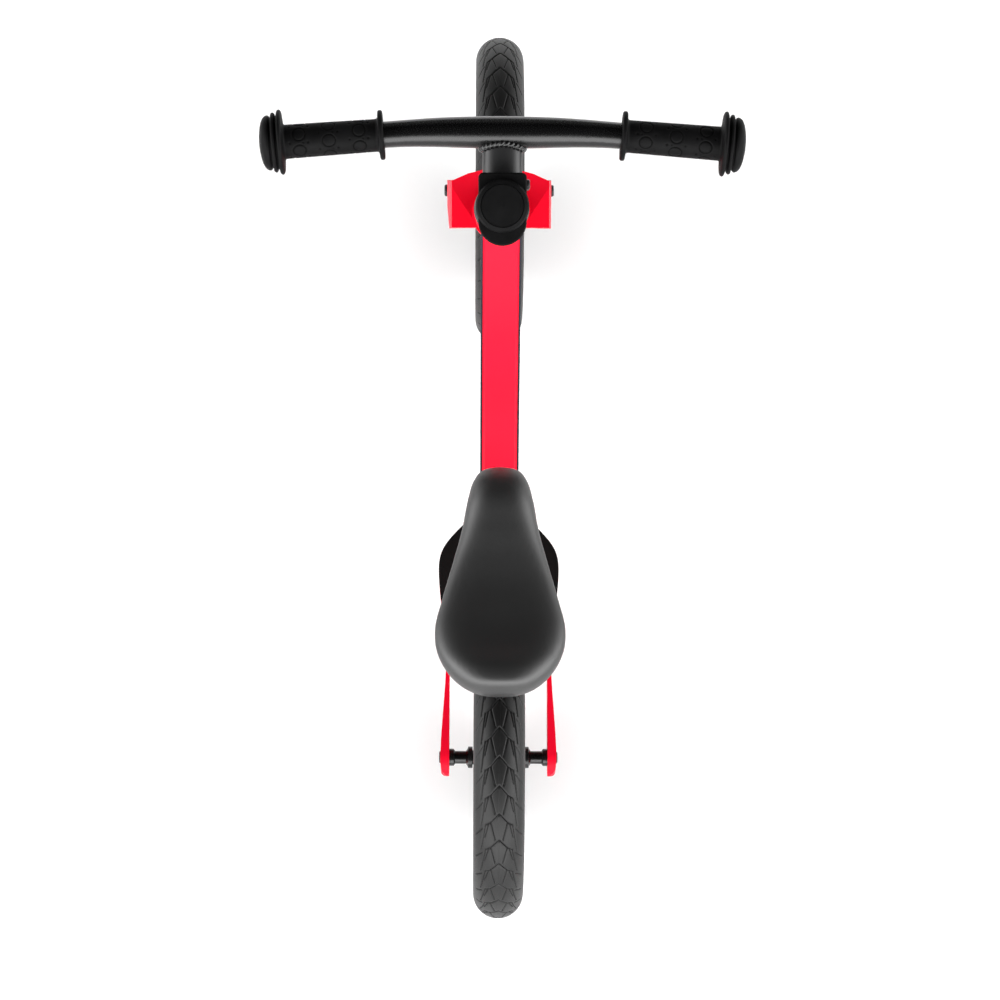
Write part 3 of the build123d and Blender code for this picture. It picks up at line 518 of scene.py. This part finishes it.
def saddle_shape():
    """Cross-sections from nose to tail, each a rounded crown over a tucked-in edge."""
    outline = curve_through(SADDLE_OUTLINE, 91)[1:-1] * MM
    ridge = curve_through(SADDLE_RIDGE, 200) * MM
    height = np.interp(outline[:, 0], ridge[:, 0], ridge[:, 1])
    nose = SADDLE_HIGH.x + SADDLE_NOSE_LEAD
    rows = []
    for (back, half), high in zip(outline, height):
        crown = np.linspace(0, pi / 2, 17)
        y = half * np.sin(crown) ** (2 / CROWN_POWER)
        z = SADDLE_EDGE + high * np.cos(crown) ** (2 / CROWN_POWER)
        lengthwise = ((back - DISH_BACK) / DISH_LENGTH) ** 2
        z = z - DISH_DEPTH * np.exp(-lengthwise - (y / DISH_WIDTH) ** 2)
        under = np.linspace(0, pi / 2, 7)[1:]
        drop = SADDLE_EDGE - SADDLE_LOW.z
        tuck = min(SADDLE_TUCK, half * 0.5)
        y = np.concatenate([y, half - tuck * (1 - np.cos(under))])
        z = np.concatenate([z, SADDLE_EDGE - drop * np.sin(under)])
        inner = max(half - SADDLE_RIM, half * 0.35)
        y = np.concatenate([y, [inner, inner]])
        pocket = SADDLE_POCKET_DEPTH if SADDLE_POCKET[0] < back < SADDLE_POCKET[1] else 0.0
        z = np.concatenate([z, [SADDLE_LOW.z, SADDLE_LOW.z + pocket]])
        side = [(nose - back, a, b) for a, b in zip(y, z)]
        rows.append(side[::-1] + [(x, -a, b) for x, a, b in side[1:]])
    return rows


def saddle_cover():
    """The sections joined into a closed form, remeshed evenly and smoothed."""
    rows = saddle_shape()
    count = len(rows[0])
    points = [p for row in rows for p in row]
    faces = grid_faces(len(rows), count, False, True)
    faces.append(tuple(range(count))[::-1])
    faces.append(tuple((len(rows) - 1) * count + i for i in range(count)))
    piece = make_piece("saddle_cover_padded", points, faces, MATERIALS["saddle_skin"])
    remesh = piece.modifiers.new("skin", "REMESH")
    remesh.mode = "VOXEL"
    remesh.voxel_size = SKIN_VOXEL
    smooth = piece.modifiers.new("soften", "SMOOTH")
    smooth.factor = 0.5
    smooth.iterations = 12
    bpy.context.view_layer.update()
    graph = bpy.context.evaluated_depsgraph_get()
    mesh = bpy.data.meshes.new_from_object(piece.evaluated_get(graph))
    piece.modifiers.clear()
    piece.data = mesh
    mesh.polygons.foreach_set("use_smooth", [True] * len(mesh.polygons))
    if not mesh.materials:
        mesh.materials.append(MATERIALS["saddle_skin"])
    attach(piece, "saddle")
    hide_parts("saddle_cover")


# ---------------------------------------------------------------- grips
GRIP_BORE = 11.1
GRIP_LENGTH = 104.9 * MM
GRIP_DOME_INSET = 0.4 * MM
# Radius and distance from the inner end, in mm, before the patterned stretch and after it.
GRIP_FLANGE = [(GRIP_BORE, 0), (19.6, 0), (20.5, 0.5), (20.9, 1.6), (20.9, 2.6), (20.5, 3.6)]
GRIP_FLANGE += [(19.4, 4.1), (15.2, 4.5), (14.1, 5.2), (13.75, 6.5)]
GRIP_RINGS = [(15.6, 84.2), (22, 84.6), (25.6, 85.0), (26.8, 85.7), (27.3, 86.6), (27.3, 87.4)]
GRIP_RINGS += [(26.7, 88.2), (25.4, 88.8), (22.8, 89.3), (22.4, 89.8), (22.8, 90.3), (24.2, 90.7)]
GRIP_RINGS += [(25.0, 91.4)]
GRIP_RINGS += [(25.2, 92.2), (25.0, 93.0), (24.2, 93.7), (21.8, 94.2), (21.3, 94.7), (21.8, 95.2)]
GRIP_RINGS += [(22.6, 95.7), (23.1, 96.6), (23.1, 97.6), (22.4, 99.2), (20.8, 100.9), (17.4, 102.6)]
GRIP_RINGS += [(13, 103.7), (8, 104.5), (3, 104.9), (0.2, 104.95)]
GRIP_PATTERN = (7.0, 82.9)
GRIP_PATTERN_RADII = (13.75, 14.4)
CIRCLE_COLUMNS = (20.2, 45.7, 70.7)
CIRCLE_SPACING = pi / 3
CIRCLE_TURN = 0.15  # in spacings, where the first column starts
CIRCLE_ARC_RADIUS = 14.0
CIRCLE_DOTS = ((-7.5, 1.1), (-3.5, 0.7), (8.0, 0.8))  # distance from the column, and radius
CIRCLE_RADIUS = 5.4
CIRCLE_LINE = 0.55
CIRCLE_DEPTH = 0.5


def grip_pattern(along, angle, radius):
    """Staggered rings of circles with a dot beside each, 0 to 1."""
    cut = np.zeros_like(along + angle)
    for index, column in enumerate(CIRCLE_COLUMNS):
        turn = angle / CIRCLE_SPACING + 0.5 * (index % 2) + CIRCLE_TURN
        around = (turn - np.round(turn)) * CIRCLE_SPACING * radius
        between = (turn - 0.5 - np.round(turn - 0.5)) * CIRCLE_SPACING * radius
        ring = np.abs(np.hypot(along - column, around) - CIRCLE_RADIUS)
        cut = np.maximum(cut, np.clip(1.5 - ring / CIRCLE_LINE, 0, 1))
        for off, size in CIRCLE_DOTS:
            dot = np.hypot(along - column - off, between)
            cut = np.maximum(cut, np.clip(1.5 - dot / size, 0, 1))
    return cut


def grip(side, node, name):
    """A moulded rubber grip, its end read from the CAD grip and its direction from the bar."""
    low, high = (Vector(corner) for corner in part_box(node))
    tilt = radians(BAR_SWEEP)
    outward = (STEER_AHEAD * -sin(tilt) + LEFT * side * cos(tilt)).normalized()
    sideways = (STEER_AHEAD * cos(tilt) + LEFT * side * sin(tilt)).normalized()
    reach = (high.y if side > 0 else low.y) - GRIP_DOME_INSET * side
    tip = along_steerer(BAR_REACH - (abs(reach) - BAR_BEND) * tan(tilt), reach, BAR_HEIGHT)
    start = tip - outward * GRIP_LENGTH
    rows = list(GRIP_FLANGE)
    steps = 130
    first, last = GRIP_PATTERN_RADII
    for t in np.linspace(*GRIP_PATTERN, steps):
        share = (t - GRIP_PATTERN[0]) / (GRIP_PATTERN[1] - GRIP_PATTERN[0])
        rows.append((first + share * (last - first), t))
    rows += GRIP_RINGS
    radius = np.array([r for r, _ in rows])[None, :]
    along = np.array([t for _, t in rows])[None, :]
    around = 168
    angle = np.linspace(0, 2 * pi, around, endpoint=False)[:, None]
    inside = (along >= GRIP_PATTERN[0]) & (along <= GRIP_PATTERN[1])
    cut = grip_pattern(along, angle, CIRCLE_ARC_RADIUS) * inside
    r = (radius - cut * CIRCLE_DEPTH) * MM
    t = along * MM
    axes = [np.array(v) for v in (start, outward, sideways, outward.cross(sideways))]
    points = (
        axes[0]
        + t[..., None] * axes[1]
        + (r * np.cos(angle))[..., None] * axes[2]
        + (r * np.sin(angle))[..., None] * axes[3]
    )
    faces = grid_faces(around, len(rows), True, False)
    tip_ring = [i * len(rows) + len(rows) - 1 for i in range(around)]
    faces.append(tuple(tip_ring))
    piece = make_piece(name, points.reshape(-1, 3), faces, MATERIALS["soft_rubber"])
    # The pattern's depth also drives the painted shade in its grooves.
    mark(piece, "groove_shade", np.broadcast_to(cut, (around, len(rows))))
    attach(piece, "steering")
    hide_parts(node)


# ---------------------------------------------------------------- handlebar weld
# In mm.
NECK_HALF_WIDTH = 16.8
NECK_HALF_HEIGHT = 9.0
BAR_CENTRE_RADIUS = 13.5
BEAD_RADIUS = 2.7
BEAD_PITCH = 4.0
BEAD_SIDES = 20
BEAD_OUTSET = (0.6, 0.5)  # how far the bead's line stands outside the neck, across and up
BEAD_SINK = 0.6  # how far it is set into the bar
BEAD_LEAN = 0.38  # how far each scale's edge curves along the bead


def weld_bead():
    """A fish-scale bead where the stem's neck meets the handlebar."""
    steps = 900
    ring = np.linspace(0, 2 * pi, steps, endpoint=False)
    y = (NECK_HALF_WIDTH + BEAD_OUTSET[0]) * np.cos(ring)
    s = (NECK_HALF_HEIGHT + BEAD_OUTSET[1]) * np.sin(ring)
    n = BAR_REACH / MM - np.sqrt(BAR_CENTRE_RADIUS**2 - s**2) - BEAD_SINK
    line = np.stack([n, y, s + BAR_HEIGHT / MM], axis=-1)
    step = np.roll(line, -1, axis=0) - np.roll(line, 1, axis=0)
    along = np.cumsum(np.linalg.norm(step, axis=1)) / 2
    scales = round(along[-1] / BEAD_PITCH)
    along = along / along[-1] * scales
    tangent = step / np.linalg.norm(step, axis=1)[:, None]
    out = np.stack([np.full(steps, -0.75), np.cos(ring) * 0.66, np.sin(ring) * 0.66], axis=-1)
    out -= (out * tangent).sum(axis=1)[:, None] * tangent
    out /= np.linalg.norm(out, axis=1)[:, None]
    side = np.cross(tangent, out)
    turn = np.linspace(0, 2 * pi, BEAD_SIDES, endpoint=False)
    phase = along[:, None] + BEAD_LEAN * np.cos(turn)[None, :] ** 2
    radius = BEAD_RADIUS * (0.68 + 0.38 * np.sqrt(np.abs(np.sin(pi * phase))))
    local = (
        line[:, None, :]
        + (radius * np.cos(turn))[..., None] * out[:, None, :]
        + (radius * 1.25 * np.sin(turn))[..., None] * side[:, None, :]
    )
    local = local.reshape(-1, 3) * MM
    points = [along_steerer(*p) for p in local]
    faces = grid_faces(steps, BEAD_SIDES, True, True)
    piece = make_piece("stem_weld_bead", points, faces, MATERIALS["black_alloy"])
    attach(piece, "steering")


# ---------------------------------------------------------------- the object
paint_nodes()
tyre("front_tyre_treaded", FRONT_AXLE, "front_wheel", "front_tyre")
tyre("rear_tyre_treaded", REAR_AXLE, "rear_wheel", "rear_tyre")
saddle_cover()
grip(1, "grip_left", "grip_left_moulded")
grip(-1, "grip_right", "grip_right_moulded")
weld_bead()


# ---------------------------------------------------------------- camera, floor and light
CAMERA_TILT = radians(15.43)  # off straight down, looking forward
CAMERA_LATERAL = radians(0.43)
CAMERA_ROLL = radians(-0.2)
CAMERA_AIM = Vector((-0.0613, -0.0005, 0.25))
CAMERA_DISTANCE = 2.701
CAMERA_LENS = 106.3
CAMERA_SENSOR = 36


def camera():
    """The photograph's view, from above and a little behind."""
    tilt, lateral = CAMERA_TILT, CAMERA_LATERAL
    sight = Vector((sin(tilt), -sin(lateral), -cos(tilt) * cos(lateral)))
    up = Vector((cos(tilt), 0, sin(tilt)))
    right = sight.cross(up).normalized()
    up = Matrix.Rotation(CAMERA_ROLL, 3, sight) @ right.cross(sight).normalized()
    right = sight.cross(up).normalized()
    aim, distance = CAMERA_AIM, CAMERA_DISTANCE
    data = bpy.data.cameras.new("camera")
    data.lens = CAMERA_LENS
    data.sensor_width = CAMERA_SENSOR
    data.clip_end = 50
    view = bpy.data.objects.new("camera", data)
    view.matrix_world = Matrix(
        (
            (right.x, up.x, -sight.x, aim.x - distance * sight.x),
            (right.y, up.y, -sight.y, aim.y - distance * sight.y),
            (right.z, up.z, -sight.z, aim.z - distance * sight.z),
            (0, 0, 0, 1),
        )
    )
    bpy.context.scene.collection.objects.link(view)
    bpy.context.scene.camera = view


FLOOR_REACH = 12.0
FLOOR_GLOW = 0.12  # keeps the floor as white as the photograph's


def floor():
    """A plain white floor."""
    far = FLOOR_REACH
    points = [(-far, -far, 0), (far, -far, 0), (far, far, 0), (-far, far, 0)]
    paint = Paint("floor")
    soft = paint.noise(3, 2)
    paint.colour(paint.blend(soft, (0.93, 0.93, 0.93), (0.95, 0.95, 0.95)))
    paint.set(Roughness=0.9, Specular_IOR_Level=0.1)
    paint.set(Emission_Color=(1, 1, 1, 1), Emission_Strength=FLOOR_GLOW)
    piece = make_piece("floor", points, [(0, 1, 2, 3)], paint.material)


HORIZON_LIGHT = 6.0  # the wall behind the bike and beside it
FRONT_SHARE = 0.04  # how much of that is left ahead of the bike
OVERHEAD_LIGHT = 0.06


def studio():
    """Light from low down behind and beside the bike, with little from ahead or overhead.

    The camera sees at least plain white in every direction.
    """
    bpy.context.scene.view_settings.view_transform = "Standard"
    world = bpy.data.worlds.new("studio")
    bpy.context.scene.world = world
    world.use_nodes = True
    nodes, links = world.node_tree.nodes, world.node_tree.links
    direction = nodes.new("ShaderNodeTexCoord").outputs["Generated"]
    split = nodes.new("ShaderNodeSeparateXYZ")
    links.new(direction, split.inputs[0])

    def between(source, low, high, start, end):
        node = nodes.new("ShaderNodeMapRange")
        node.interpolation_type = "SMOOTHSTEP"
        limits = {"From Min": low, "From Max": high, "To Min": start, "To Max": end}
        for name, value in limits.items():
            node.inputs[name].default_value = value
        links.new(source, node.inputs["Value"])
        return node.outputs["Result"]

    wall = between(split.outputs["Z"], 0.45, 0.75, HORIZON_LIGHT, OVERHEAD_LIGHT)
    share = between(split.outputs["X"], -0.1, 0.75, 1.0, FRONT_SHARE)

    def combine(operation, first, second):
        node = nodes.new("ShaderNodeMath")
        node.operation = operation
        links.new(first, node.inputs[0])
        links.new(second, node.inputs[1])
        return node.outputs[0]

    seen = nodes.new("ShaderNodeLightPath").outputs["Is Camera Ray"]
    strength = combine("MAXIMUM", combine("MULTIPLY", wall, share), seen)
    links.new(strength, nodes["Background"].inputs["Strength"])
    nodes["Background"].inputs["Color"].default_value = (1, 1, 1, 1)


camera()
floor()
studio()
